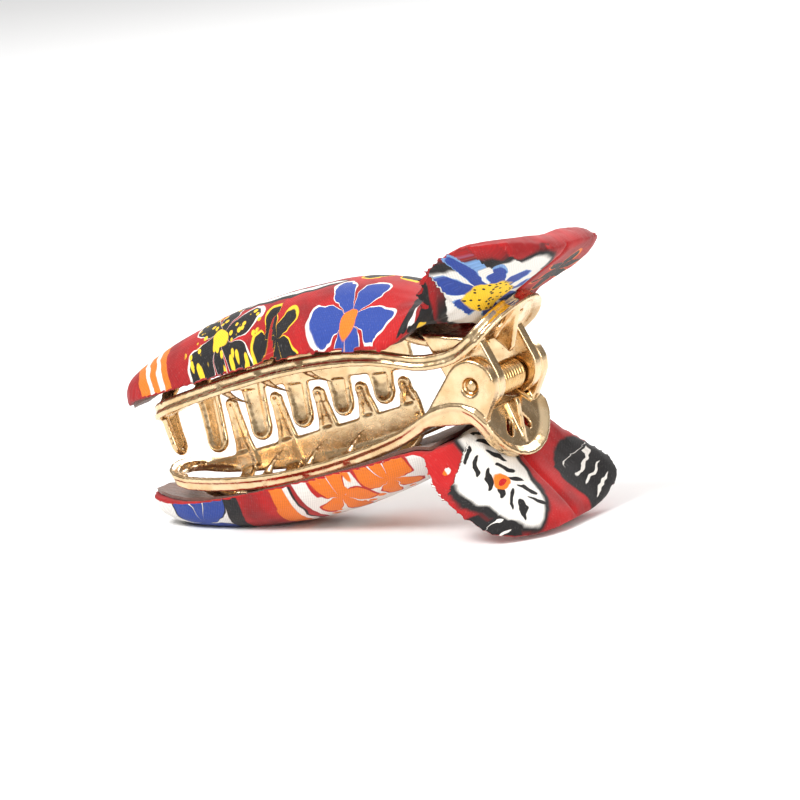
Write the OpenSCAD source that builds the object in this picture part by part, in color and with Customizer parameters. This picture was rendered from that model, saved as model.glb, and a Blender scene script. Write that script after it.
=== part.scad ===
// Fabric-covered hair clip: two sprung jaws on one hinge pin.
// X runs from the mouth to the handles, Y along the hinge pin, Z up.
// The clip stands on its lower cover, and the origin is under the middle of its box.

/* [Overall] */
// Hinge axis to the front tip of a cover
cover_len = 81; // [76:1:96]
// Full width of a cover over its jaw
cover_w = 30; // [28:0.2:35]
// Hinge axis to the end of the lower handle, along its lever
lower_handle_len = 32; // [27:0.5:38]
// Hinge axis to the end of the upper handle, along its lever
upper_handle_len = 31.5; // [27:0.5:37]
// Full width of a handle at its widest
handle_w = 38; // [32:1:46]
// Thickness of a padded cover
pad_t = 4; // [3.4:0.1:4.8]

/* [Jaw casting] */
// Hinge axis to the front of the rails
rail_len = 74.5; // [66:0.5:76]
// Full width between the rail centres over the mouth
rail_w = 20.4; // [17:0.2:21.4]
// Width of a rail
rail_t = 1.6; // [1.2:0.1:2]
// Height of a rail
rail_h = 2.4; // [1.8:0.1:2.8]
// Diameter of the bead along the outside of a rail
bead_d = 1.3; // [1:0.1:1.6]
// Thickness of the side wall and the ribs
wall_t = 1.3; // [1:0.1:1.6]
// Distance between the teeth of one jaw
tooth_pitch = 9.6; // [9:0.1:10.4]
// Number of long teeth on each jaw
tooth_count = 5; // [3:1:5]
// Thickness of the bar round a long tooth
tooth_bar = 1.5; // [1.2:0.1:1.8]
// Thickness of the web inside that bar
web_t = 0.7; // [0.5:0.1:1]
// Width of a rib
rib_w = 2.9; // [2:0.1:3.4]
// Height of the side wall's open edge above the middle plane, at the front
valley_front = 6.4; // [5:0.1:7]
// Height of the side wall's open edge above the middle plane, at the back
valley_back = 3.4; // [2.8:0.1:5]
// Room between a tooth tip and the other jaw's wall
tip_gap = 1; // [0.6:0.1:2]
// Number of short claws on the open side of each jaw
claw_count = 3; // [1:1:4]

/* [Hinge] */
// Outer face to outer face of the hinge
hinge_w = 24; // [22:0.5:26]
// Thickness of a hinge lug
lug_t = 2.6; // [2:0.1:3]
// Radius of a hinge lug
lug_r = 5.2; // [4.6:0.1:5.4]
// Room between two lugs, and between a lug and anything that turns past it
turn_gap = 0.2; // [0.1:0.05:0.3]
// Diameter of the hinge pin
pin_d = 2; // [1.6:0.1:2.4]
// Radial room of the pin in the turning lugs
run_fit = 0.06; // [0.03:0.01:0.1]
// Radial room of the pin in the lugs that hold it
hold_fit = 0.01; // [0.01:0.01:0.02]
// Diameter of the counterbore around each pin end
sink_d = 3.4; // [3:0.1:4]
// Depth of the counterbore
sink_depth = 0.9; // [0.5:0.1:1.2]

/* [Spring] */
// Wire diameter of the torsion spring
wire_d = 0.95; // [0.8:0.05:1.1]
// Outer diameter of the coil
coil_d = 6.2; // [5.8:0.1:6.4]
// Distance between the turns
coil_pitch = 1.06; // [1.05:0.01:1.2]
// Number of full turns
coil_turns = 11; // [8:1:11]
// Length of the spring leg on the upper lever
upper_leg = 8.5; // [7:0.5:9]
// Length of the spring leg on the lower lever
lower_leg = 6; // [5:0.5:7]

/* [Levers] */
// Angle of the lower lever from the middle plane
lower_lever_angle = 78; // [74:1:82]
// Angle of the upper lever from the middle plane
upper_lever_angle = 38; // [34:1:44]
// Hinge axis to the tip of a lever
lever_len = 16.5; // [15:0.5:18]
// Full width of a lever
lever_w = 25; // [22:0.5:27]
// Thickness of a lever
lever_t = 1.5; // [1.2:0.1:1.8]
// Room over the strap, for the cover's edges to come down
strap_drop = 3.2; // [2.6:0.1:4]
// Height of the fin on the lower lever
lower_fin_h = 2.2; // [1.5:0.1:3]
// Height of the fin on the upper lever
upper_fin_h = 4; // [3:0.1:4.4]
// Thickness of the fin
fin_t = 1.3; // [1:0.1:1.8]
// Length of an oval hole in a lever
hole_len = 4; // [3:0.1:5]
// Width of an oval hole
hole_w = 2; // [1.6:0.1:2.4]

/* [Layers of a cover] */
// Thickness of the fabric
skin_t = 0.7; // [0.5:0.05:0.9]
// Thickness of the stiff board
board_t = 0.8; // [0.6:0.1:1]
// Thickness of the felt
felt_t = 0.7; // [0.5:0.1:0.8]
// Room between two layers
layer_gap = 0.12; // [0.06:0.01:0.15]

/* [Hidden] */
$fn = 48;

gold = [0.85, 0.72, 0.5];
lug_in = hinge_w / 2 - lug_t;            // inner face of a lower lug
turn_out = lug_in - turn_gap;            // outer face of an upper lug
turn_in = turn_out - lug_t;              // inner face of an upper lug
clear_r = lug_r + turn_gap + 0.1;        // nothing of the other jaw comes nearer the axis
coil_drop = coil_d / 2 - wire_d - pin_d / 2 - layer_gap;
lower_off = -0.5;                        // lever face from the axis, towards the other lever
upper_off = -4.5;

// A jaw's row: share of cover_len ahead of the hinge, height, share of half the width,
// drop of the near and the far edge towards the middle plane, share of the thickness
lower_rows = [[1, 10.2, .24, .4, .2, .5], [.97, 12, .44, 1.2, .8, .95],
    [.88, 15, .64, 3.2, 2.4, 1], [.74, 17.3, .8, 5.4, 4.6, 1], [.57, 18, .9, 6.6, 5.4, 1],
    [.42, 17.2, .95, 6.4, 5, 1], [.29, 15.4, 1, 5, 4, 1], [.18, 13.2, 1, 3, 3.4, 1],
    [.1, 11.2, 1, -3, 3.4, 1]];
upper_rows = [[1, 9.6, .26, .6, .2, .6], [.97, 11.8, .48, 1.6, .8, .95],
    [.88, 14.9, .68, 4.6, 2.8, 1], [.74, 18.2, .82, 7.2, 5.4, 1], [.57, 20.6, .92, 8.8, 7, 1],
    [.42, 21.3, .96, 9, 7.4, 1], [.29, 21, 1, 9.6, 8, 1], [.18, 18.8, 1, 9, 8, 1],
    [.095, 15.4, 1, 1.5, 4, 1]];
// A handle's row: share of its length, height over the lever's face, share of half its
// width, curl of the near and the far edge, share of the thickness
lower_grip = [[.25, -.8, .8, -9, 2, 1], [.44, .2, .9, -10, 3.6, 1], [.6, 1.4, 1, -9, 5.6, 1],
    [.75, 3.4, 1, -8, 7, 1], [.88, 5, .96, -6.5, 5, 1], [.97, 6, .7, -3, 2, .9],
    [1, 6.4, .36, -.8, .4, .45]];
upper_grip = [[.26, 0, .78, -10.5, .6, 1], [.45, 0, .86, -11.5, 1.6, 1],
    [.64, 1.2, .96, -11, 3, 1], [.81, 2.6, 1, -9, 2.4, 1], [.92, 3.4, .9, -6, 1.4, 1],
    [.98, 3.8, .64, -3, .6, .9], [1, 4, .34, -1, .2, .45]];
// Rails: distance ahead of the hinge as a share of rail_len, height, share of rail_w / 2
lower_rail = [[1, 6, 0], [.985, 6.8, .5], [.93, 8.4, .76], [.79, 10, .94], [.64, 10.8, 1],
    [.48, 10.4, 1.01], [.33, 9, 1.03]];
upper_rail = [[1, 6, 0], [.985, 6.8, .5], [.93, 8, .76], [.79, 9.4, .94], [.64, 10.5, 1],
    [.48, 10.9, 1.01], [.33, 10.2, 1.03]];
// The rails behind the mouth, as distance ahead of the hinge and height
lower_neck = [[17, 7.4], [12, 5.4], [7.5, 4.4], [3, 4.8]];
upper_neck = [[17, 8.8], [11, 6.9], [6, 6.4], [1.5, 6.9]];

function unit(v) = v / norm(v);
function span(n) = [for (i = [0 : n]) i / n];
function total(v, i = 0) = i < len(v) ? v[i] + total(v, i + 1) : [0, 0, 0];

// Smooth curve through a list of rows, with n steps between two of them
function slope(p, i, n, loop) = loop
    ? (p[(i + 1) % n] - p[(i + n - 1) % n]) / 2
    : (p[min(i + 1, n - 1)] - p[max(i - 1, 0)]) / 2;
function curve(p, steps, loop = false) =
    let (n = len(p), last = loop ? n - 1 : n - 2)
    [for (i = [0 : last]) for (k = [0 : steps - 1])
        let (t = k / steps, a = p[i], b = p[(i + 1) % n])
        (2 * pow(t, 3) - 3 * t * t + 1) * a + (pow(t, 3) - 2 * t * t + t) * slope(p, i, n, loop)
            + (3 * t * t - 2 * pow(t, 3)) * b
            + (pow(t, 3) - t * t) * slope(p, (i + 1) % n, n, loop),
     if (!loop) p[n - 1]];

// Point of a jaw's side view, a distance along its lever and a height over the axis line
function lever_point(angle, along, height) =
    [along * cos(angle) + height * sin(angle), 0, along * sin(angle) - height * cos(angle)];

// Middle line of a cover: place, half width, edge drops, tilt, half thickness
function cover_line(rows, grip, angle, off, length) =
    let (under = off - lever_t - felt_t - 2 * layer_gap - pad_t / 2,
        jaw = [for (r = rows)
            [-r[0] * cover_len, r[1], r[2] * cover_w / 2, r[3], r[4], 0, r[5] * pad_t / 2]],
        handle = [for (g = grip)
            let (p = lever_point(angle, g[0] * length, under + g[1]))
            [p.x, p.z, g[2] * handle_w / 2, g[3], g[4], angle, g[5] * pad_t / 2]])
    curve(concat(jaw, handle), 2);
lower_line = cover_line(lower_rows, lower_grip, lower_lever_angle, lower_off, lower_handle_len);
upper_line = cover_line(upper_rows, upper_grip, upper_lever_angle, upper_off, upper_handle_len);

// Fullness of a cover's section, from 1 in the middle to 0 at its edges
function fullness(v) = sqrt(max(0, 1 - pow(abs(v), 4)));
// Point of a section: v from -1 at the near edge to 1 at the far one, n outwards
function at(s, v, n) =
    let (curl = (v < 0 ? s[3] : s[4]) * pow(abs(v), 2.6) - n)
    [s[0] + sin(s[5]) * curl, s[2] * v, s[1] - cos(s[5]) * curl];
// Share of a section's half width that lies a margin inside its edge
function inset(s, margin) = max(0.2, 1 - margin / max(s[2], 2 * margin));

// Ring around a padded section
function lens(s, k) =
    [for (i = [-k : k]) at(s, i / k, s[6] * fullness(i / k)),
     for (i = [k - 1 : -1 : 1 - k]) at(s, i / k, -s[6] * fullness(i / k))];
// Ring of fabric folded round a section, with its hems h apart from the middle
function hem(h) = [for (i = [0 : 3]) h + (1 - h) * i / 4];
function around(h, k) = concat([for (v = hem(h)) [-v, -1]], [for (i = [-k : k]) [i / k, 1]],
    [for (i = [3 : -1 : 0]) [hem(h)[i], -1]]);
function wrap(s, k, h) =
    let (path = around(h, k), n = len(path), tuck = inset(s, skin_t))
    [for (p = path) at(s, p[0], p[1] * s[6] * fullness(p[0])),
     for (i = [n - 1 : -1 : 0]) let (p = path[i])
        at(s, p[0] * tuck, p[1] * max(0, s[6] * fullness(p[0]) - skin_t))];
// The same ring where the fabric closes over the end, with nothing in it
function closed_wrap(s, k, h) =
    let (path = around(h, k), n = len(path), gap = h / 2)
    [for (p = path) at(s, p[0], p[1] * s[6] * fullness(p[0])),
     for (i = [n - 1 : -1 : 0]) let (v = gap * (2 * i / (n - 1) - 1))
        at(s, v, -s[6] * fullness(v))];
// Ring between two heights, where each is a share of the padding and a constant
function band(s, k, v, low, high) =
    [for (i = [-k : k]) at(s, v * i / k, high[0] * s[6] * fullness(v * i / k) + high[1]),
     for (i = [k : -1 : -k]) at(s, v * i / k, low[0] * s[6] * fullness(v * i / k) + low[1])];

// Rows of a cover's line that lie between two shares of its length
function part_of(line, from, to) =
    [for (i = [round(from * (len(line) - 1)) : round(to * (len(line) - 1))]) line[i]];

// Faces between rings, their ends closed by a fan or, on folded rings, by a strip
function middle(ring) = total(ring) / len(ring);
function facing(ring) =
    total([for (j = [1 : len(ring) - 2]) cross(ring[j] - ring[0], ring[j + 1] - ring[0])]);
function ring_sides(n, m, last) = [for (i = [0 : last]) for (j = [0 : m - 1])
    let (k = (j + 1) % m, a = i * m, b = (i + 1) % n * m)
    each [[a + j, b + k, b + j], [a + j, a + k, b + k]]];
function fan(m, start, tip) = [for (j = [0 : m - 1]) [tip, start + (j + 1) % m, start + j]];
function strip(m, start) = [for (j = [0 : m / 2 - 2])
    each [[start + m - 2 - j, start + j + 1, start + j],
        [start + m - 1 - j, start + m - 2 - j, start + j]]];
function back(faces) = [for (f = faces) [f[2], f[1], f[0]]];

// Solid through rings of equal length
module skin(rings, folded = false) {
    n = len(rings);
    m = len(rings[0]);
    end = (n - 1) * m;
    faces = concat(ring_sides(n, m, n - 2), folded ? strip(m, 0) : fan(m, 0, n * m),
        back(folded ? strip(m, end) : fan(m, end, n * m + 1)));
    points = concat([for (r = rings) each r],
        folded ? [] : [middle(rings[0]), middle(rings[n - 1])]);
    ahead = facing(rings[0]) * (middle(rings[1]) - middle(rings[0]));
    polyhedron(points, ahead > 0 ? back(faces) : faces);
}
// Closed loop through rings of equal length
module ring_loop(rings) {
    n = len(rings);
    m = len(rings[0]);
    faces = ring_sides(n, m, n - 1);
    ahead = facing(rings[0]) * (middle(rings[1]) - middle(rings[0]));
    polyhedron([for (r = rings) each r], ahead > 0 ? back(faces) : faces);
}
// One body from the pieces of a casting
module cast_in_one() {
    resize([0, 0, 0]) children();
}

// Height and half width of a jaw's rail a distance ahead of the hinge
function rail_z(rail, x) = lookup(x, [for (r = rail) [r[0] * rail_len, r[1]]]);
function rail_y(rail, x) = lookup(x, [for (r = rail) [r[0] * rail_len, r[2] * rail_w / 2]]);
function cover_z(line, x) = lookup(-x, [for (s = line) [s[0], s[1]]]);
function valley(x) = lookup(x, [[0.35 * rail_len, valley_back], [0.9 * rail_len, valley_front]]);

// Rail loop of a jaw: place and outward direction, around the mouth and the lever
function rail_half(rail, neck, angle, off) =
    let (side = hinge_w / 2 - rail_t / 2 - turn_gap, out = [-sin(angle), 0, cos(angle)],
        mid = off - lever_t / 2, r = lever_w / 2 - rail_t / 2)
    concat(
        [for (p = rail) concat([-p[0] * rail_len, p[2] * rail_w / 2, p[1]], [0, 0, 1])],
        [for (p = neck) concat([-p[0], side, p[1]], [0, 0, 1])],
        [for (a = [80, 55, 28, 0])
            let (p = lever_point(angle, lever_len - rail_t / 2 - r * 0.8 * (1 - cos(a)), mid))
            concat([p.x, r * sin(a), p.z], out)]);
function rail_loop(half) = let (n = len(half))
    concat(half, [for (i = [n - 2 : -1 : 1]) let (h = half[i]) [h[0], -h[1], h[2], h[3], h[4], h[5]]]);
// Section of a rail: a rounded bar with a bead along the foot of its outer face
rail_section = let (w = rail_t / 2, h = rail_h / 2, b = bead_d / 2, c = 0.35)
    [[w, h - c], [w - c, h], [c - w, h], [-w, h - c], [-w, b - h], [-w - b * 0.7, b * 0.7 - h],
     [-w - b * 0.7, -b * 0.7 - h], [-w, -b - h], [w - c, -h], [w, c - h]];
function rail_ring(here, ahead) =
    let (p = [here[0], here[1], here[2]], q = [ahead[0], ahead[1], ahead[2]],
        up = unit([here[3], here[4], here[5]]), side = unit(cross(q - p, up)))
    [for (c = rail_section) p + side * c.x + up * c.y];

module rails(half) {
    path = curve(rail_loop(half), 2, true);
    n = len(path);
    ring_loop([for (i = [0 : n - 1]) rail_ring(path[i], path[(i + 1) % n])]);
}

// Side wall of the mouth, from the near front corner round to the far side, where it ends at
// the share start of the rail
module side_wall(rail, start) {
    far = [for (x = [start : 0.04 : 0.94]) [x * rail_len, rail_y(rail, x * rail_len)]];
    front = [[0.978 * rail_len, rail_w / 4], [0.992 * rail_len, 0], [0.978 * rail_len, -rail_w / 4],
        [0.94 * rail_len, -rail_y(rail, 0.94 * rail_len)]];
    path = concat(far, front);
    n = len(path);
    skin([for (i = [0 : n - 1])
        let (p = path[i], d = unit(path[min(i + 1, n - 1)] - path[max(i - 1, 0)]),
            s = [d.y, -d.x] * wall_t / 2, top = rail_z(rail, p.x), low = valley(p.x))
        [[-p.x - s.x, p.y + s.y, top], [-p.x + s.x, p.y - s.y, top],
         [-p.x + s.x, p.y - s.y, low], [-p.x - s.x, p.y + s.y, low]]]);
}

// A tooth stands in its own plane: u along the wall, z down to its tip, and a lean inwards.
// Its rim is one rounded bar bent into a U round a thin web.
function tooth_lean(z, root) = z > root ? 0 : 1.1 * pow((root - z) / (2 * root), 2);
function tooth_rim(top, root, half) =
    let (end = tip_gap - root + tooth_bar / 2 + half[2],
        side = [[half[0], top], [half[1], root], [(half[1] + half[2]) / 2, root - 2],
            [half[2], end + 2], [half[2], end]],
        arc = [for (a = [30, 60, 90, 120, 150]) [half[2] * cos(a), end - half[2] * sin(a)]])
    concat(side, arc, [for (i = [len(side) - 1 : -1 : 0]) [-side[i].x, side[i].y]]);
module tooth(top, root, half) {
    rim = tooth_rim(top, root, half);
    n = len(rim);
    skin([for (i = [0 : n - 1])
        let (d = unit(rim[min(i + 1, n - 1)] - rim[max(i - 1, 0)]), r = tooth_bar / 2)
        [for (a = [0 : 60 : 300])
            [rim[i].x - d.y * r * cos(a), r * sin(a) - tooth_lean(rim[i].y, root),
             rim[i].y + d.x * r * cos(a)]]]);
    skin([for (i = [0 : (n - 1) / 2 - 1])
        let (w = rim[i].x, z = rim[i].y, y = -tooth_lean(z, root), t = web_t / 2)
        [[w, y - t, z], [w, y + t, z], [-w, y + t, z], [-w, y - t, z]]]);
}
module far_tooth(rail, x, half) {
    translate([-x, rail_y(rail, x), 0]) tooth(rail_z(rail, x), valley(x), half);
}
module front_tooth(rail, half) {
    top = rail_z(rail, rail_len);
    translate([-rail_len, 0, 0]) rotate([0, 0, 90]) tooth(top, top - rail_h / 2 - turn_gap, half);
}

// Rib over the jaw, from rail to rail under the cover
module rib(rail, line, x) {
    y = rail_y(rail, x);
    z = rail_z(rail, x);
    crown = cover_z(line, x) - pad_t / 2 - felt_t - wall_t / 2 - 0.5;
    skin([for (t = span(10))
        let (a = 180 * t, c = [-x, y * cos(a), z + (crown - z) * pow(sin(a), 1.5)],
            o = unit([0, cos(a) * 0.8, sin(a) + 0.05]))
        [c + o * wall_t / 2 + [rib_w / 2, 0, 0], c + o * wall_t / 2 - [rib_w / 2, 0, 0],
         c - o * wall_t / 2 - [rib_w / 2, 0, 0], c - o * wall_t / 2 + [rib_w / 2, 0, 0]]]);
}

// Spine that joins the ribs along the crown of a jaw
module spine(rail, line) {
    skin([for (f = [0.28 : 0.08 : 0.92])
        let (x = f * rail_len,
            z = cover_z(line, x) - pad_t / 2 - felt_t - wall_t / 2 - 0.5)
        [[-x, 1.6, z + wall_t / 4], [-x, -1.6, z + wall_t / 4],
         [-x, -1.6, z - wall_t / 3], [-x, 1.6, z - wall_t / 3]]]);
}

// Short claw on the open side, curling in from the near rail towards the hinge
module claw(rail, x) {
    y = -rail_y(rail, x);
    z = rail_z(rail, x);
    skin([for (t = span(6))
        let (c = [-x + 3.4 * t * t, y + 5.2 * t * t, z - 5.6 * t], w = 1.5 * (1 - 0.8 * t))
        [for (i = [0 : 7]) let (a = -45 * i - 22.5)
            c + [w * cos(a), 0.75 * w * sin(a), 0]]]);
}

// Outline of a lever, with its tip on X and the tip's curve like the rail's
function lever_outline() =
    let (r = lever_w / 2 - rail_t / 2, tip = [for (a = [-90 : 10 : 90])
        [lever_len - rail_t / 2 - r * 0.8 * (1 - cos(a)), r * sin(a)]])
    concat([[clear_r, -r]], tip, [[clear_r, r]]);

// Lever plate with its fin, placed on a jaw
module on_lever(angle, off) {
    rotate([0, -angle, 0]) translate([0, 0, -off]) children();
}
module lever(angle, off, fin_h) {
    on_lever(angle, off) {
        linear_extrude(lever_t) polygon(lever_outline());
        translate([0, fin_t / 2, 0]) rotate([90, 0, 0]) linear_extrude(fin_t)
            polygon([[lever_len - rail_t, 0.1], [clear_r, 0.1], [clear_r, -fin_h],
                [clear_r + 1.2, -fin_h]]);
    }
}
// Two oval holes through a lever, slanted away from the fin on both sides
module lever_holes(angle, off) {
    on_lever(angle, off) for (side = [-1, 1])
        translate([0.62 * lever_len, side * 3.2, -1]) rotate([0, 0, side * 41]) {
            for (end = [-1, 1]) translate([end * (hole_len - hole_w) / 2, 0, 0])
                cylinder(d = hole_w, h = lever_t + 2);
            translate([(hole_w - hole_len) / 2, -hole_w / 2, 0])
                cube([hole_len - hole_w, hole_w, lever_t + 2]);
        }
}

// Strap from the last rib over the hinge to the lever
module strap(line, angle, off, half_width) {
    lift = pad_t / 2 + felt_t + lever_t / 2 + strap_drop;
    tail = lever_point(angle, clear_r + 1, off - lever_t / 2);
    mid = concat([for (x = [-0.31 * rail_len, -15, -9]) [x, cover_z(line, -x) - lift]],
        [[tail.x, tail.z]]);
    bent = curve([for (p = mid) p], 3);
    n = len(bent);
    normals = [for (i = [0 : n - 1])
        let (d = unit(bent[min(i + 1, n - 1)] - bent[max(i - 1, 0)])) [-d.y, d.x] * lever_t / 2];
    translate([0, half_width, 0]) rotate([90, 0, 0]) linear_extrude(2 * half_width)
        polygon(concat([for (i = [0 : n - 1]) bent[i] + normals[i]],
            [for (i = [n - 1 : -1 : 0]) bent[i] - normals[i]]));
}

// Direction from the axis to where a line from a point touches the lug's circle
function touch(p, side) = atan2(p.y, p.x) + side * acos(lug_r / norm(p));
// Outline of a lug plate: from the neck round under the pin to the root of the lever
function lug_outline(front, back) =
    let (from = touch(front, 1) - (touch(front, 1) > 0 ? 0 : -360), to = touch(back, -1) + 360)
    concat([front], [for (i = [0 : 16]) let (a = from + (to - from) * i / 16) lug_r * [cos(a), sin(a)]],
        [back]);
// One lug plate, from the height low to the height high along Y
module lug(front, back, low, high) {
    translate([0, high, 0]) rotate([90, 0, 0])
        linear_extrude(high - low) polygon(lug_outline(front, back));
}
module pin_hole(fit) {
    translate([0, -hinge_w, 0]) rotate([-90, 0, 0])
        cylinder(d = pin_d + 2 * fit, h = 2 * hinge_w);
}

// One jaw's casting but for its lugs and holes
module casting(rail, neck, line, angle, off, first, half, fin_h, half_width, wall_start) {
    rails(rail_half(rail, neck, angle, off));
    side_wall(rail, wall_start);
    spine(rail, line);
    for (i = [0 : tooth_count - 1]) {
        far_tooth(rail, first - i * tooth_pitch, half);
        rib(rail, line, first - i * tooth_pitch);
    }
    for (i = [0 : claw_count - 1]) claw(rail, first - (i + 1.5) * tooth_pitch);
    lever(angle, off, fin_h);
    strap(line, angle, off, half_width);
}

// Pitch at which the closed clip stands, and its place over the origin
function rings_of(line, k) = [for (s = line) each lens(s, k)];
function reach(points, dir) = max([for (p = points) p * dir]);
function outermost(points, dir) =
    let (top = reach(points, dir)) [for (p = points) if (p * dir == top) p][0];
sole = rings_of(part_of(lower_line, 0, 0.5), 6);
heel = rings_of(part_of(lower_line, 0.55, 1), 6);
function stand_pitch(guess, tries) =
    let (down = [-sin(guess), 0, cos(guess)],
        step = outermost(heel, down) - outermost(sole, down))
    tries == 0 ? guess : stand_pitch(atan2(step.z, step.x), tries - 1);
pitch = stand_pitch(12, 4);
lower_points = rings_of(lower_line, 6);
upper_points = rings_of(upper_line, 6);
stand_z = reach(lower_points, [-sin(pitch), 0, cos(pitch)]);
front_x = max(reach(lower_points, [-cos(pitch), 0, -sin(pitch)]),
    reach(upper_points, [-cos(pitch), 0, sin(pitch)]));
back_x = max(reach(lower_points, [cos(pitch), 0, sin(pitch)]),
    reach(upper_points, [cos(pitch), 0, -sin(pitch)]));

module stand() {
    translate([(front_x - back_x) / 2, 0, stand_z]) rotate([0, -pitch, 0]) children();
}
module under() {
    stand() mirror([0, 0, 1]) children();
}

// Jaws
upper_first = tooth_pitch * 0.25 + 0.9 * rail_len;
lower_first = upper_first - tooth_pitch / 2;
// Half the width between a tooth's bars: at the rail, at the wall's open edge and at the tip
upper_tooth = [2.7, 2.1, 1.8];
lower_tooth = [2.1, 1.7, 0.8];

// Lug plates on both sides of the hinge, from the height low to the height high along Y
module lugs(front, back, low, high) {
    for (side = [0, 1]) mirror([0, side, 0]) lug(front, back, low, high);
}

module lower_jaw() {
    front = [-0.18 * rail_len, 5.9];
    root = lever_point(lower_lever_angle, clear_r + 2, lower_off - 0.1);
    color(gold) under() difference() {
        cast_in_one() {
            casting(lower_rail, lower_neck, lower_line, lower_lever_angle, lower_off, lower_first,
                lower_tooth, lower_fin_h, turn_in - turn_gap, 0.34);
            lugs(front, [root.x, root.z], lug_in, hinge_w / 2);
        }
        pin_hole(hold_fit);
        lever_holes(lower_lever_angle, lower_off);
        for (side = [0, 1]) mirror([0, side, 0])
            translate([0, hinge_w / 2 - sink_depth, 0]) rotate([-90, 0, 0])
                cylinder(d = sink_d, h = 2 * sink_depth);
    }
}

module upper_jaw() {
    root = lever_point(upper_lever_angle, clear_r + 2, upper_off - 0.1);
    front = [-9, cover_z(upper_line, 9) - pad_t / 2 - felt_t - lever_t - 0.4];
    color(gold) stand() difference() {
        cast_in_one() {
            casting(upper_rail, upper_neck, upper_line, upper_lever_angle, upper_off, upper_first,
                upper_tooth, upper_fin_h, (turn_in + turn_out) / 2, 0.31);
            lugs(front, [root.x, root.z], turn_in, turn_out);
            front_tooth(upper_rail, upper_tooth);
        }
        pin_hole(run_fit);
        lever_holes(upper_lever_angle, upper_off);
    }
}

// Pin with slightly rounded ends
module hinge_pin() {
    half = hinge_w / 2 - sink_depth / 3;
    color([0.8, 0.66, 0.42]) stand() rotate([90, 0, 0]) rotate_extrude()
        polygon([[0, -half], [pin_d * 0.3, -half + 0.05], [pin_d / 2, -half + 0.3],
            [pin_d / 2, half - 0.3], [pin_d * 0.3, half - 0.05], [0, half]]);
}

// Torsion spring: a leg on each lever and a close coil round the pin
module torsion_spring() {
    r = (coil_d - wire_d) / 2;
    from = 142;                          // where the upper leg leaves the coil
    to = 228 + 360 * coil_turns;         // where the lower leg leaves it
    half = coil_pitch * (to - from) / 720;
    step = 30;
    count = ceil((to - from) / step);
    function on_coil(i) = let (a = from + (to - from) * i / count)
        [r * cos(a), half * (2 * i / count - 1), r * sin(a) - coil_drop];
    function along(a) = [-sin(a), 0, cos(a)];
    path = concat([on_coil(0) - along(from) * upper_leg, on_coil(0) - along(from) * 0.4],
        [for (i = [0 : count]) on_coil(i)],
        [on_coil(count) + along(to) * 0.4, on_coil(count) + along(to) * lower_leg]);
    n = len(path);
    color([0.86, 0.72, 0.4]) stand() skin([for (i = [0 : n - 1])
        let (d = unit(path[min(i + 1, n - 1)] - path[max(i - 1, 0)]), s = unit(cross(d, [0, 1, 0])),
            u = cross(s, d))
        [for (k = [0 : 5]) path[i] + wire_d / 2 * (cos(60 * k) * s + sin(60 * k) * u)]]);
}

// Layers of a cover, each over its own stretch of the cover's line
glued = [0.04, 0.5];
stiff = [0.1, 0.94];
edge = 5.2;                              // from the edge of a cover to its board
felt_edge = 2.4;                         // from the edge of a cover to its felt
function opening(share) = lookup(share, [[glued[1], 0.55], [glued[1] + 0.1, 0.03]]);
module felt(line) {
    skin([for (s = part_of(line, glued[0], glued[1]))
        band(s, 4, inset(s, felt_edge), [-1, -layer_gap - felt_t], [-1, -layer_gap])]);
}
module board(line) {
    low = skin_t + 2 * layer_gap;
    skin([for (s = part_of(line, stiff[0], stiff[1]))
        band(s, 4, inset(s, edge), [-1, low], [-1, low + board_t])]);
}
module padding(line) {
    skin([for (s = part_of(line, stiff[0], stiff[1]))
        band(s, 5, inset(s, edge), [-1, skin_t + board_t + 3 * layer_gap],
            [1, -skin_t - 2 * layer_gap])]);
}
module cover(line) {
    last = len(line) - 1;
    skin([for (i = [0 : last])
        i / last < stiff[0] || i / last > stiff[1] ? closed_wrap(line[i], 6, opening(i / last))
            : wrap(line[i], 6, opening(i / last))], folded = true);
}
module lower_felt() { color([0.36, 0.22, 0.15]) under() felt(lower_line); }
module upper_felt() { color([0.36, 0.22, 0.15]) stand() felt(upper_line); }
module lower_board() { color([0.72, 0.68, 0.6]) under() board(lower_line); }
module upper_board() { color([0.72, 0.68, 0.6]) stand() board(upper_line); }
module lower_padding() { color([0.95, 0.93, 0.88]) under() padding(lower_line); }
module upper_padding() { color([0.95, 0.93, 0.88]) stand() padding(upper_line); }
module lower_cover() { color([0.75, 0.08, 0.09]) under() cover(lower_line); }
module upper_cover() { color([0.75, 0.08, 0.09]) stand() cover(upper_line); }

lower_jaw();
upper_jaw();
hinge_pin();
torsion_spring();
lower_felt();
upper_felt();
lower_board();
upper_board();
lower_padding();
upper_padding();
lower_cover();
upper_cover();
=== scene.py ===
"""Looks of a fabric-covered hair clip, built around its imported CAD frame.

Metres throughout. MM turns a size in millimetres into metres.
Two cast gold jaws carry felt-lined padded covers that run on into the handles.
"""

import math

import bpy
import bmesh
import numpy as np
from mathutils import Matrix, Vector, noise


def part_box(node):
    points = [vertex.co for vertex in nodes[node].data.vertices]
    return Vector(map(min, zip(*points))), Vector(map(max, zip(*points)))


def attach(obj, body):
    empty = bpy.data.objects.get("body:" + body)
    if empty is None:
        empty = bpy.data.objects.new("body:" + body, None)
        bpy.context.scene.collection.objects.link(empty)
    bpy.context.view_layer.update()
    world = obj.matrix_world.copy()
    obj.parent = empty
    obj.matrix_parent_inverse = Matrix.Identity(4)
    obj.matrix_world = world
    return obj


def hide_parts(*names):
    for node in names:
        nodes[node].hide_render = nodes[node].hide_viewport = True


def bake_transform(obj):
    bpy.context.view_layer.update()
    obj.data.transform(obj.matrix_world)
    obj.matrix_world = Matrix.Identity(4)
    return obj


MM = 0.001

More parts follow.
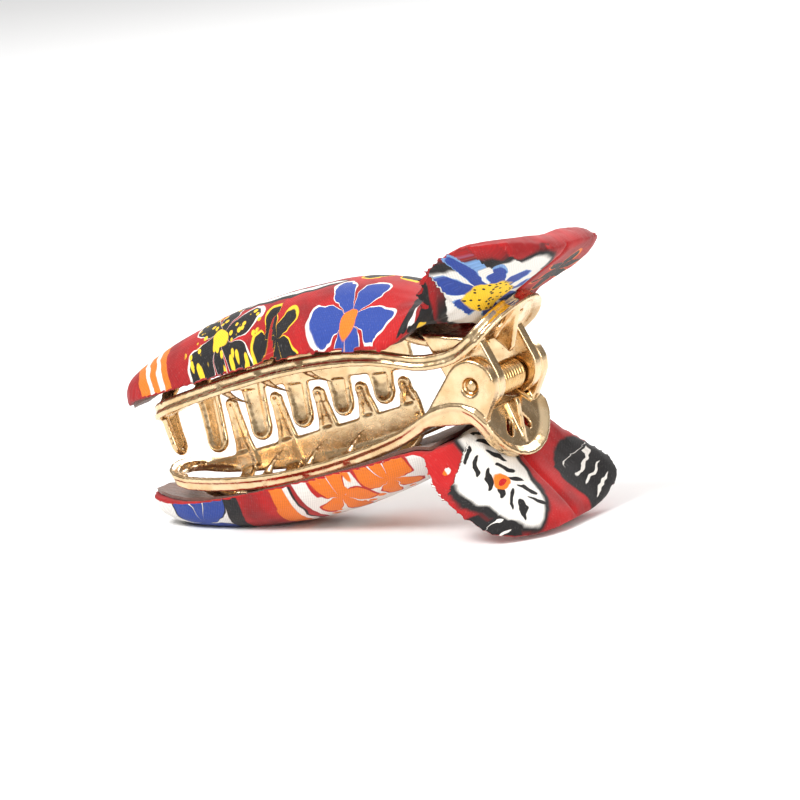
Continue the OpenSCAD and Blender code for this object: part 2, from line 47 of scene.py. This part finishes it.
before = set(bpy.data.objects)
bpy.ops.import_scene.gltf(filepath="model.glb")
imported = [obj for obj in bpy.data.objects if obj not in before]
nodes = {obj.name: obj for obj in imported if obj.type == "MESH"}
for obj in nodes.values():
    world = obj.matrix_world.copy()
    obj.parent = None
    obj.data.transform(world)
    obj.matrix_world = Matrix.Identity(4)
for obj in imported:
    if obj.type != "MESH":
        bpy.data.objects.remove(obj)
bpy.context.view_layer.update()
hinge_low, hinge_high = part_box("hinge_pin")
HINGE = (hinge_low + hinge_high) / 2

# Sizes shared with the CAD model
PITCH = math.radians(10.13)  # how far the closed clip leans back on its lower cover
WIRE_D = 0.95 * MM
COIL_D = 6.2 * MM
COIL_PITCH = 1.06 * MM
COIL_DROP = 1.05 * MM  # axis of the coil under the hinge axis
COIL_FROM = math.radians(142)
COIL_TO = math.radians(228 + 360 * 11)
UPPER_LEG = 8.5 * MM
LOWER_LEG = 6 * MM

# Sizes of the looks
WAIST = {"upper": 78, "lower": 74}  # mm along a cover to where it turns into its handle
JAW_VOXEL = 0.28 * MM
COVER_VOXEL = 0.45 * MM
SWELL = 0.8 * MM  # the furthest that the pressure moves the cloth
SWELL_PRESSURE = 6.0
SWELL_FRAMES = 12
SWELL_SCALE = 20  # the solver is steadier on an object of a metre or two
GATHER_PITCH = 2.3  # mm from one gather at the waist to the next
WOBBLE = 3.4  # mm that the hand-drawn outlines of the print stray
WIRE_SIDES = 12


# ---------- mesh helpers ----------

def show(name, data):
    """A new object in the scene."""
    obj = bpy.data.objects.new(name, data)
    bpy.context.scene.collection.objects.link(obj)
    return obj


def from_bmesh(name, bm):
    """A new mesh object from a bmesh, which is freed."""
    mesh = bpy.data.meshes.new(name)
    bm.to_mesh(mesh)
    bm.free()
    return show(name, mesh)


def copy_of(names, name):
    """One new mesh object from copies of CAD nodes."""
    bm = bmesh.new()
    for n in names:
        bm.from_mesh(nodes[n].data)
    bmesh.ops.remove_doubles(bm, verts=bm.verts, dist=1e-7)
    return from_bmesh(name, bm)


def apply_modifiers(obj):
    bpy.context.view_layer.update()
    graph = bpy.context.evaluated_depsgraph_get()
    mesh = bpy.data.meshes.new_from_object(obj.evaluated_get(graph))
    obj.modifiers.clear()
    obj.data = mesh


def smooth(obj, rounds):
    """Smoothing, with any modifier that is already on the object."""
    m = obj.modifiers.new("smooth", "SMOOTH")
    m.factor = 0.5
    m.iterations = rounds
    apply_modifiers(obj)


def remesh(obj, voxel, rounds):
    """Voxel remesh and light smoothing, which leaves soft fillets in the corners."""
    m = obj.modifiers.new("remesh", "REMESH")
    m.mode = "VOXEL"
    m.voxel_size = voxel
    smooth(obj, rounds)


def dress(obj, material):
    """Smooth shading and one material."""
    obj.data.polygons.foreach_set("use_smooth", np.ones(len(obj.data.polygons), bool))
    obj.data.materials.clear()
    obj.data.materials.append(material)


def points_of(mesh):
    co = np.empty(len(mesh.vertices) * 3)
    mesh.vertices.foreach_get("co", co)
    return co.reshape(-1, 3)


def normals_of(mesh):
    n = np.empty(len(mesh.vertices) * 3)
    mesh.vertex_normals.foreach_get("vector", n)
    return n.reshape(-1, 3)


def set_points(mesh, co):
    mesh.vertices.foreach_set("co", co.ravel())
    mesh.update()


def rough(co, size, seed=0.0):
    """Smooth noise from -1 to 1 at each point, with lumps about size metres across."""
    return np.array([noise.noise(Vector(p) / size + Vector((seed, 0, 0))) for p in co])


def spine_of(board):
    """The middle line of a board from its front end to its handle end, as x and z."""
    # points of the mesh on the plane of symmetry, averaged over steps of 1.5 mm
    co = points_of(nodes[board].data)
    co = co[np.abs(co[:, 1]) < 0.01 * MM]
    rows = np.round((co[:, 0] - co[:, 0].min()) / (1.5 * MM)).astype(int)
    return np.array([co[rows == r][:, [0, 2]].mean(0) for r in np.unique(rows)])


def place_on(spine, co, normals, outward):
    """Distance along the spine and across it in mm, and how far out each point faces, -1 to 1."""
    steps = np.diff(spine, axis=0)
    lengths = np.linalg.norm(steps, axis=1)
    before = np.concatenate([[0], np.cumsum(lengths)])
    p = co[:, [0, 2]]
    best = np.full(len(co), np.inf)
    along = np.zeros(len(co))
    face = np.zeros(len(co))
    for i, d in enumerate(steps):
        t = np.clip(((p - spine[i]) @ d) / lengths[i] ** 2, 0, 1)
        off = p - spine[i] - t[:, None] * d
        gap = np.linalg.norm(off, axis=1)
        out = (normals[:, 2] * d[0] - normals[:, 0] * d[1]) * outward / lengths[i]
        near = gap < best
        best[near] = gap[near]
        along[near] = before[i] + t[near] * lengths[i]
        face[near] = out[near]
    return along / MM, co[:, 1] / MM, face


def inflate(obj, free):
    """Cloth simulation under pressure. free says how far each point may follow it, 0 to 1."""
    rest = points_of(obj.data)
    set_points(obj.data, rest * SWELL_SCALE)
    m = obj.modifiers.new("cloth", "CLOTH")
    m.settings.quality = 4
    m.settings.mass = 0.3
    m.settings.tension_stiffness = 12
    m.settings.compression_stiffness = 12
    m.settings.shear_stiffness = 6
    m.settings.bending_stiffness = 1.5
    m.settings.use_pressure = True
    m.settings.uniform_pressure_force = SWELL_PRESSURE
    m.settings.effector_weights.gravity = 0
    m.collision_settings.use_collision = False
    m.point_cache.frame_start = 1
    m.point_cache.frame_end = SWELL_FRAMES
    for f in range(1, SWELL_FRAMES + 1):
        bpy.context.scene.frame_set(f)
    graph = bpy.context.evaluated_depsgraph_get()
    mesh = bpy.data.meshes.new_from_object(obj.evaluated_get(graph))
    obj.modifiers.clear()
    bpy.context.scene.frame_set(1)
    moved = points_of(mesh) / SWELL_SCALE - rest
    bpy.data.meshes.remove(mesh)
    far = np.linalg.norm(moved, axis=1)
    scale = np.minimum(1, SWELL / np.maximum(far, 1e-9))
    set_points(obj.data, rest + moved * (scale * free)[:, None])


# ---------- material helpers ----------

def linear(r, g, b):
    """A colour given from 0 to 255, as the shaders take it."""
    return tuple((c / 255 / 12.92) if c <= 10.3 else ((c / 255 + 0.055) / 1.055) ** 2.4
                 for c in (r, g, b)) + (1.0,)


class Nodes:
    """Short ways to add shader nodes to one material."""

    def __init__(self, name):
        self.material = bpy.data.materials.new(name)
        self.material.use_nodes = True
        self.tree = self.material.node_tree
        self.shader = self.tree.nodes["Principled BSDF"]

    def put(self, socket, value):
        if isinstance(value, bpy.types.NodeSocket):
            self.tree.links.new(value, socket)
        else:
            socket.default_value = value

    def add(self, kind, out=0, values=(), **settings):
        node = self.tree.nodes.new(kind)
        for key, value in settings.items():
            setattr(node, key, value)
        for key, value in dict(values).items():
            self.put(node.inputs[key], value)
        return node.outputs[out]

    def math(self, operation, a, b=0.0):
        return self.add("ShaderNodeMath", 0, {0: a, 1: b}, operation=operation)

    def mix(self, mask, a, b):
        node = self.tree.nodes.new("ShaderNodeMix")
        node.data_type = "RGBA"
        self.put(node.inputs[0], mask)
        self.put(node.inputs[6], a)
        self.put(node.inputs[7], b)
        return node.outputs[2]

    def length(self, vector):
        node = self.tree.nodes.new("ShaderNodeVectorMath")
        node.operation = "LENGTH"
        self.put(node.inputs[0], vector)
        return node.outputs[1]

    def noise(self, vector, scale, detail=3.0, roughness=0.5):
        return self.add("ShaderNodeTexNoise", 0, {"Vector": vector, "Scale": scale,
                        "Detail": detail, "Roughness": roughness})

    def between(self, value, low, high, to_low=0.0, to_high=1.0):
        """A soft step from to_low to to_high as the value goes from low to high."""
        ends = {0: value, 1: low, 2: high, 3: to_low, 4: to_high}
        return self.add("ShaderNodeMapRange", 0, ends, interpolation_type="SMOOTHSTEP")

    def bump(self, height, strength, distance, normal=None):
        values = {"Height": height, "Strength": strength, "Distance": distance}
        if normal is not None:
            values["Normal"] = normal
        return self.add("ShaderNodeBump", 0, values)


def gold(name, base, dark, roughness, grain):
    """Cast and plated metal: slow changes of tone, soft hammering and fine grain."""
    n = Nodes(name)
    where = n.add("ShaderNodeTexCoord", 3)
    tone = n.between(n.noise(where, 260, 4), 0.35, 0.7)
    n.put(n.shader.inputs["Base Color"], n.mix(tone, base, dark))
    n.shader.inputs["Metallic"].default_value = 1.0
    n.put(n.shader.inputs["Roughness"],
          n.between(n.noise(where, 700, 5), 0.3, 0.75, roughness * 0.75, roughness * 1.4))
    waves = n.bump(n.noise(where, 420, 2), 0.35, 0.12 * MM)
    n.put(n.shader.inputs["Normal"], n.bump(n.noise(where, grain, 3), 0.18, 0.02 * MM, waves))
    return n.material


def felt_material():
    """Brown felt: matted fibres with a soft light fuzz."""
    n = Nodes("brown_felt")
    where = n.add("ShaderNodeTexCoord", 3)
    fibres = n.noise(where, 3800, 6, 0.75)
    clumps = n.noise(where, 600, 3)
    tone = n.mix(n.between(fibres, 0.35, 0.68), linear(58, 32, 22), linear(132, 86, 62))
    n.put(n.shader.inputs["Base Color"],
          n.mix(n.between(clumps, 0.4, 0.75, 0, 0.45), tone, linear(92, 60, 48)))
    n.shader.inputs["Roughness"].default_value = 0.96
    n.shader.inputs["Sheen Weight"].default_value = 0.45
    n.shader.inputs["Sheen Roughness"].default_value = 0.6
    n.shader.inputs["Specular IOR Level"].default_value = 0.15
    lumps = n.bump(clumps, 0.5, 0.25 * MM)
    n.put(n.shader.inputs["Normal"], n.bump(fibres, 0.9, 0.14 * MM, lumps))
    return n.material


RED = linear(184, 12, 15)
DEEP_RED = linear(140, 8, 13)
BLACK = linear(16, 13, 15)
WHITE = linear(232, 228, 222)
BLUE = linear(38, 66, 150)
PALE_BLUE = linear(120, 160, 210)
ORANGE = linear(232, 118, 22)
YELLOW = linear(246, 200, 40)


class Print(Nodes):
    """Printed cotton. A motif sits at s mm along the cover and w mm across it, on one face."""
    # each call of paint lays one more colour over what is there

    def __init__(self, name):
        super().__init__(name)
        place = self.add("ShaderNodeAttribute", 1, attribute_name="print_place")
        parts = self.tree.nodes.new("ShaderNodeSeparateXYZ")
        self.put(parts.inputs[0], place)
        s, w, face = parts.outputs
        self.flat = self.add("ShaderNodeCombineXYZ", 0, {0: s, 1: w})
        wobble = self.add("ShaderNodeTexNoise", 1, {"Vector": self.flat, "Scale": 0.22})
        centred = self.add("ShaderNodeVectorMath", 0, {0: wobble, 1: (0.5, 0.5, 0.5)},
                           operation="SUBTRACT")
        push = self.add("ShaderNodeVectorMath", 0, {0: centred, 1: (WOBBLE, WOBBLE, 0)},
                        operation="MULTIPLY")
        self.drawn = self.add("ShaderNodeVectorMath", 0, {0: self.flat, 1: push})
        self.outer = self.between(face, -0.05, 0.05)
        self.inner = self.math("SUBTRACT", 1.0, self.outer)
        patches = self.between(self.noise(self.flat, 0.12, 3), 0.35, 0.7)
        self.colour = self.mix(patches, RED, DEEP_RED)

    def centred_on(self, s, w, turn, size=(1, 1, 1)):
        """The place measured from s and w, turned by degrees, in units of a size."""
        return self.add("ShaderNodeMapping", 0, {"Vector": self.drawn, "Location": (s, w, 0),
                        "Rotation": (0, 0, math.radians(turn)), "Scale": size},
                        vector_type="TEXTURE")

    def shape(self, s, w, long, wide, turn=0.0, soft=0.06):
        """Mask of an oval of these half sizes, in mm, turned by degrees."""
        return self.between(self.length(self.centred_on(s, w, turn, (long, wide, 1))),
                            1 - soft, 1 + soft, 1.0, 0.0)

    def paint(self, colour, mask, face):
        """Lays a colour over what is there, where the mask and the face say."""
        self.colour = self.mix(self.math("MULTIPLY", mask, face), self.colour, colour)

    def oval(self, colour, s, w, long, wide, turn, face):
        self.paint(colour, self.shape(s, w, long, wide, turn), face)

    def band(self, colour, start, end, face):
        """A stripe across the cover, from start to end in mm along it."""
        half = (end - start) / 2
        self.paint(colour, self.shape(start + half, 0, half, 900, 0, 0.12 / half), face)

    def petals(self, s, w, count, reach, fill, edge, face, start=0.0):
        """A flower of so many round petals that reach out from s and w, with an outline."""
        local = self.centred_on(s, w, start)
        parts = self.tree.nodes.new("ShaderNodeSeparateXYZ")
        self.put(parts.inputs[0], local)
        turn = self.math("ARCTAN2", parts.outputs[1], parts.outputs[0])
        lobes = self.math("ABSOLUTE", self.math("COSINE", self.math("MULTIPLY", turn, count / 2)))
        rim = self.math("MULTIPLY", self.math("POWER", lobes, 0.6), reach)
        past = self.math("SUBTRACT", self.length(local), rim)
        self.paint(edge, self.between(past, 0.35, 0.65, 1.0, 0.0), face)
        self.paint(fill, self.between(past, -0.35, -0.05, 1.0, 0.0), face)

    def spots(self, colour, mask, scale, size, face):
        """Scattered dots inside a mask."""
        cells = self.add("ShaderNodeTexVoronoi", 0, {"Vector": self.flat, "Scale": scale})
        dots = self.between(cells, size, size * 1.25, 1, 0)
        self.paint(colour, self.math("MULTIPLY", mask, dots), face)

    def done(self):
        """Twill weave, painted shade darkening its low threads and a matt cotton surface."""
        twill = self.add("ShaderNodeTexWave", 1, {"Vector": self.flat, "Scale": 1.25,
                         "Distortion": 0.6, "Detail": 1.0}, bands_direction="DIAGONAL")
        cross = self.add("ShaderNodeTexWave", 1, {"Vector": self.flat, "Scale": 0.95,
                         "Distortion": 0.5, "Detail": 1.0}, bands_direction="Y")
        weave = self.math("ADD", self.math("MULTIPLY", twill, 0.65),
                          self.math("MULTIPLY", cross, 0.35))
        slubs = self.noise(self.flat, 2.4, 5, 0.7)
        # painted shade: where the weave is low, in the gaps between threads, the print is mixed
        # towards black
        shaded_weave = self.mix(self.between(weave, 0.15, 0.9, 0.16, 0.0), self.colour, BLACK)
        self.put(self.shader.inputs["Base Color"],
                 self.mix(self.between(slubs, 0.55, 0.8, 0.0, 0.14), shaded_weave, WHITE))
        self.shader.inputs["Roughness"].default_value = 0.74
        self.shader.inputs["Specular IOR Level"].default_value = 0.35
        self.shader.inputs["Sheen Weight"].default_value = 0.12
        lumps = self.bump(self.noise(self.flat, 0.5, 3), 0.35, 0.25 * MM)
        self.put(self.shader.inputs["Normal"], self.bump(weave, 0.55, 0.06 * MM, lumps))
        return self.material


def upper_print():
    p = Print("upper_print")
    # jaw: orange and white stripes at the tip, black petals, blue petals, a strip on the ridge
    for start, end, colour in ((1, 3, ORANGE), (3, 4.4, WHITE), (4.4, 6.4, ORANGE),
                               (6.4, 7.6, WHITE), (7.6, 9.4, ORANGE)):
        p.band(colour, start, end, p.outer)
    p.petals(24, -9.5, 6, 9.6, BLACK, WHITE, p.outer, 15)
    p.spots(YELLOW, p.shape(24, -9.5, 9.5, 7.5), 0.62, 0.28, p.outer)
    p.oval(YELLOW, 24, -9.5, 2, 1.6, 0, p.outer)
    p.petals(38, -13, 5, 6.4, BLACK, YELLOW, p.outer, 40)
    p.petals(56, -12, 6, 9.8, BLUE, WHITE, p.outer, 0)
    p.oval(ORANGE, 56, -12, 2, 2, 0, p.outer)
    p.oval(BLACK, 40, -2.5, 12, 2.6, 4, p.outer)
    p.oval(WHITE, 40, -2.2, 11, 1.3, 4, p.outer)
    p.petals(30, 7, 6, 8.6, BLUE, WHITE, p.outer, 20)
    p.petals(58, 8, 6, 9.2, BLACK, YELLOW, p.outer, 10)
    p.band(BLACK, 68.5, 70.5, p.outer)
    p.band(WHITE, 70.5, 71.5, p.outer)
    # outer face of the handle
    p.petals(90, 3, 7, 11.4, BLACK, WHITE, p.outer, 10)
    p.oval(YELLOW, 90, 3, 2.6, 2.6, 0, p.outer)
    # inner face of the handle: an oval with a black rim, blue petals and a speckled middle
    p.oval(BLACK, 72.5, -12, 3.4, 1.9, 70, p.inner)
    p.oval(YELLOW, 72.5, -12, 1.1, 0.8, 70, p.inner)
    p.oval(BLACK, 90, -8.6, 15.6, 8.6, 8, p.inner)
    p.oval(WHITE, 90, -8.6, 13.9, 6.9, 8, p.inner)
    p.petals(90, -8.6, 8, 9, BLUE, PALE_BLUE, p.inner, 12)
    middle = p.shape(89, -8, 5.2, 3.4, 10)
    p.paint(YELLOW, middle, p.inner)
    p.spots(BLACK, middle, 1.1, 0.26, p.inner)
    p.petals(95, 9, 6, 7.2, BLACK, ORANGE, p.inner, 0)
    return p.done()


def lower_print():
    p = Print("lower_print")
    # jaw, from the tip: blue and white petals, black band, red, orange and white stripes
    p.band(WHITE, -2, 14.5, p.outer)
    p.petals(8, -7, 6, 8.2, BLUE, BLACK, p.outer, 20)
    p.petals(7, 6, 6, 8.2, BLUE, BLACK, p.outer, 0)
    p.band(BLACK, 14.5, 18, p.outer)
    p.band(ORANGE, 26.5, 30.5, p.outer)
    p.band(WHITE, 30.5, 31.8, p.outer)
    p.band(BLACK, 31.8, 32.4, p.outer)
    p.band(WHITE, 33.6, 66, p.outer)
    p.petals(42, -11, 5, 7, ORANGE, RED, p.outer, 10)
    p.petals(54, -12, 5, 6.6, ORANGE, RED, p.outer, 50)
    p.petals(48, 5, 6, 9, ORANGE, BLACK, p.outer, 0)
    p.spots(ORANGE, p.shape(50, 0, 15, 20), 0.3, 0.24, p.outer)
    for start in (66, 69, 72):
        p.band(ORANGE, start, start + 1.5, p.outer)
        p.band(WHITE, start + 1.5, start + 2.4, p.outer)
    # outer face of the handle
    p.petals(88, 0, 7, 10.6, BLACK, ORANGE, p.outer, 0)
    # inner face of the handle: a white leaf in a black border, with feather marks
    p.oval(BLACK, 83, -9.5, 14.5, 7.6, -8, p.inner)
    p.oval(WHITE, 83, -9.5, 13, 6.2, -8, p.inner)
    for i in range(7):
        s = 74 + 3 * i
        p.oval(BLACK, s, -7.6, 2.1, 0.5, 38, p.inner)
        p.oval(BLACK, s, -11.6, 2.1, 0.5, -38, p.inner)
    p.oval(ORANGE, 84.6, -10.2, 1.8, 1.5, 0, p.inner)
    p.oval(RED, 84.6, -10.2, 0.8, 0.7, 0, p.inner)
    p.oval(BLACK, 92.5, -17.6, 5.5, 2.6, 20, p.inner)
    for i in range(3):
        p.oval(WHITE, 90 + 2.4 * i, -17, 1.5, 0.28, 60, p.inner)
    p.oval(BLACK, 92, 12, 8.6, 7.4, 0, p.inner)
    for i in range(4):
        p.oval(WHITE, 88 + 2.6 * i, 12, 0.35, 4.6 - 0.5 * i, 18, p.inner)
    return p.done()


# ---------- pieces ----------

GOLD = gold("gold_plating", linear(233, 205, 164), linear(214, 180, 134), 0.22, 2600)
PIN_GOLD = gold("pin_metal", linear(224, 196, 154), linear(196, 160, 112), 0.24, 3200)
WIRE_GOLD = gold("spring_wire", linear(230, 196, 144), linear(200, 160, 104), 0.22, 3200)
FELT = felt_material()
PRINTS = {"upper": upper_print(), "lower": lower_print()}


def build_jaw(side):
    """The casting, with the soft fillets that casting and plating leave."""
    jaw = copy_of([side + "_jaw"], side + "_casting")
    remesh(jaw, JAW_VOXEL, 3)
    dress(jaw, GOLD)
    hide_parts(side + "_jaw")
    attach(jaw, side + "_half")


def build_cover(side):
    """The padded cover: printed cotton over wadding and a board, drawn in at the waist."""
    cover = copy_of([side + "_cover", side + "_padding", side + "_board"], side + "_padded_cover")
    outward = 1 if side == "upper" else -1
    spine = spine_of(side + "_board")
    remesh(cover, COVER_VOXEL, 4)
    s, w, face = place_on(spine, points_of(cover.data), normals_of(cover.data), outward)
    on_handle = np.clip((s - WAIST[side]) / 6, 0, 1)
    inflate(cover, np.where(face > 0, 1.0, on_handle * 0.5))
    smooth(cover, 6)
    co = points_of(cover.data)
    s, w, face = place_on(spine, co, normals_of(cover.data), outward)
    # gathers that run out of the waist on both sides, and slow slack in the cloth
    waist = np.exp(-(((s - WAIST[side]) / 6.5) ** 2))
    slack = rough(co, 9 * MM, 3.0)
    gathers = np.sin(w * 2 * math.pi / GATHER_PITCH + 2.2 * slack + 0.25 * (s - WAIST[side]))
    rows = np.clip(s, 0, None).astype(int)
    widest = np.zeros(rows.max() + 1)
    np.maximum.at(widest, rows, np.abs(w))
    to_rim = widest[rows] - np.abs(w)  # the folded edge keeps its line
    fade = np.clip((np.abs(w) - 1.5) / 5, 0, 1) * np.clip((to_rim - 0.8) / 2.5, 0, 1)
    lift = 0.16 * gathers * waist * fade + 0.14 * slack * (face > 0) + 0.04 * rough(co, 2.2 * MM)
    set_points(cover.data, co + normals_of(cover.data) * (lift * MM)[:, None])
    place = np.stack([s, w, face], 1).astype(np.float32)
    layer = cover.data.attributes.new("print_place", "FLOAT_VECTOR", "POINT")
    layer.data.foreach_set("vector", place.ravel())
    dress(cover, PRINTS[side])
    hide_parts(side + "_cover", side + "_padding", side + "_board")
    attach(cover, side + "_half")
    return cover


def build_felt(side):
    """The felt lining, with the uneven surface of matted wool."""
    felt = copy_of([side + "_felt"], side + "_felt_lining")
    bm = bmesh.new()
    bm.from_mesh(felt.data)
    bmesh.ops.subdivide_edges(bm, edges=bm.edges, cuts=5, use_grid_fill=True)
    bm.to_mesh(felt.data)
    bm.free()
    co = points_of(felt.data)
    fuzz = (0.05 * rough(co, 0.9 * MM) + 0.03 * rough(co, 0.35 * MM, 7.0)) * MM
    set_points(felt.data, co + normals_of(felt.data) * fuzz[:, None])
    dress(felt, FELT)
    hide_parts(side + "_felt")
    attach(felt, side + "_half")


def build_spring():
    """Torsion spring round the hinge pin, with one leg on each lever."""
    radius = (COIL_D - WIRE_D) / 2
    half = COIL_PITCH * (COIL_TO - COIL_FROM) / (4 * math.pi)
    count = int((COIL_TO - COIL_FROM) / math.radians(8))

    def on_coil(t):
        a = COIL_FROM + (COIL_TO - COIL_FROM) * t
        return Vector((radius * math.cos(a), half * (2 * t - 1),
                       radius * math.sin(a) - COIL_DROP))

    def along(a):
        return Vector((-math.sin(a), 0, math.cos(a)))

    first, last = on_coil(0), on_coil(1)
    start = [first - along(COIL_FROM) * UPPER_LEG * k for k in (1, 0.98, 0.5, 0.12)]
    end = [last + along(COIL_TO) * LOWER_LEG * k for k in (0.12, 0.5, 0.98, 1)]
    path = start + [on_coil(i / count) for i in range(count + 1)] + end
    lean = Matrix.Translation(HINGE) @ Matrix.Rotation(-PITCH, 4, "Y")
    corners = [2 * math.pi * k / WIRE_SIDES for k in range(WIRE_SIDES)]
    bm = bmesh.new()
    rings = []
    for i, p in enumerate(path):
        d = (path[min(i + 1, len(path) - 1)] - path[max(i - 1, 0)]).normalized()
        u = d.cross(Vector((0, 1, 0))).normalized()
        v = u.cross(d)
        r = WIRE_D / 2 * (0.8 if i in (0, len(path) - 1) else 1)
        rings.append([bm.verts.new(lean @ (p + r * (math.cos(a) * u + math.sin(a) * v)))
                      for a in corners])
    for a, b in zip(rings, rings[1:]):
        for k in range(WIRE_SIDES):
            after = (k + 1) % WIRE_SIDES
            bm.faces.new((a[k], a[after], b[after], b[k]))
    bm.faces.new(rings[0][::-1])
    bm.faces.new(rings[-1])
    bmesh.ops.recalc_face_normals(bm, faces=bm.faces)
    spring = from_bmesh("spring", bm)
    dress(spring, WIRE_GOLD)
    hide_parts("torsion_spring")
    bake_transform(spring)


for half_name in ("upper", "lower"):
    build_jaw(half_name)
    lining_cover = build_cover(half_name)
    build_felt(half_name)
build_spring()
pin = nodes["hinge_pin"]
pin.data.materials.clear()
pin.data.materials.append(PIN_GOLD)


# ---------- floor, light and camera ----------

def build_floor():
    """A plain pale floor under the clip."""
    bm = bmesh.new()
    bmesh.ops.create_grid(bm, x_segments=8, y_segments=8, size=8)
    floor = from_bmesh("floor", bm)
    n = Nodes("floor")
    where = n.add("ShaderNodeTexCoord", 3)
    n.put(n.shader.inputs["Base Color"],
          n.mix(n.noise(where, 3, 2), linear(238, 238, 238), linear(234, 234, 234)))
    n.shader.inputs["Roughness"].default_value = 0.9
    n.shader.inputs["Specular IOR Level"].default_value = 0.1
    floor.data.materials.append(n.material)


def area_light(name, offset, size, power, colour=(1, 1, 1)):
    """A round softbox at an offset from the hinge, which it faces."""
    light = bpy.data.lights.new(name, "AREA")
    light.shape = "DISK"
    light.size = size
    light.energy = power
    light.color = colour
    obj = show(name, light)
    obj.location = HINGE + Vector(offset)
    obj.rotation_euler = Vector(offset).to_track_quat("Z", "Y").to_euler()


def build_world():
    """A plain room: bright overhead, darker towards the walls."""
    world = bpy.data.worlds.new("studio")
    bpy.context.scene.world = world
    world.use_nodes = True
    tree = world.node_tree
    where = tree.nodes.new("ShaderNodeTexCoord")
    parts = tree.nodes.new("ShaderNodeSeparateXYZ")
    ramp = tree.nodes.new("ShaderNodeValToRGB")
    tree.links.new(where.outputs["Generated"], parts.inputs[0])
    tree.links.new(parts.outputs[2], ramp.inputs[0])
    ramp.color_ramp.elements[0].position = 0.0
    ramp.color_ramp.elements[0].color = (0.5, 0.48, 0.45, 1)
    ramp.color_ramp.elements[1].position = 0.75
    ramp.color_ramp.elements[1].color = (1, 1, 1, 1)
    dark = ramp.color_ramp.elements.new(0.22)
    dark.color = (0.28, 0.26, 0.24, 1)
    tree.links.new(ramp.outputs[0], tree.nodes["Background"].inputs[0])
    tree.nodes["Background"].inputs[1].default_value = 0.8


def build_camera():
    """A long lens from the open side of the jaws, a little above and rolled to the left."""
    azimuth, elevation, roll = (math.radians(a) for a in (28.68, 10.76, 5.81))
    back = Vector((math.sin(azimuth) * math.cos(elevation),
                   -math.cos(azimuth) * math.cos(elevation), math.sin(elevation)))
    level = Vector((math.cos(azimuth), math.sin(azimuth), 0))
    up = (back.cross(level) * math.cos(roll) + level * math.sin(roll)).normalized()
    right = up.cross(back)
    data = bpy.data.cameras.new("camera")
    data.lens = 234
    data.sensor_width = 36
    data.clip_start = 0.05
    data.clip_end = 50
    camera = show("camera", data)
    turn = Matrix((right, up, back)).transposed().to_4x4()
    aim = HINGE - right * 18.75 * MM - up * 5 * MM
    camera.matrix_world = Matrix.Translation(aim + back) @ turn  # one metre away
    bpy.context.scene.camera = camera


build_floor()
area_light("key", (-0.25, -0.55, 0.75), 0.45, 9)
area_light("fill", (0.75, -0.45, 0.3), 0.5, 4, (1, 0.97, 0.93))
area_light("back", (-0.1, 0.7, 0.5), 0.6, 5)
build_world()
build_camera()
bpy.context.scene.view_settings.view_transform = "Standard"
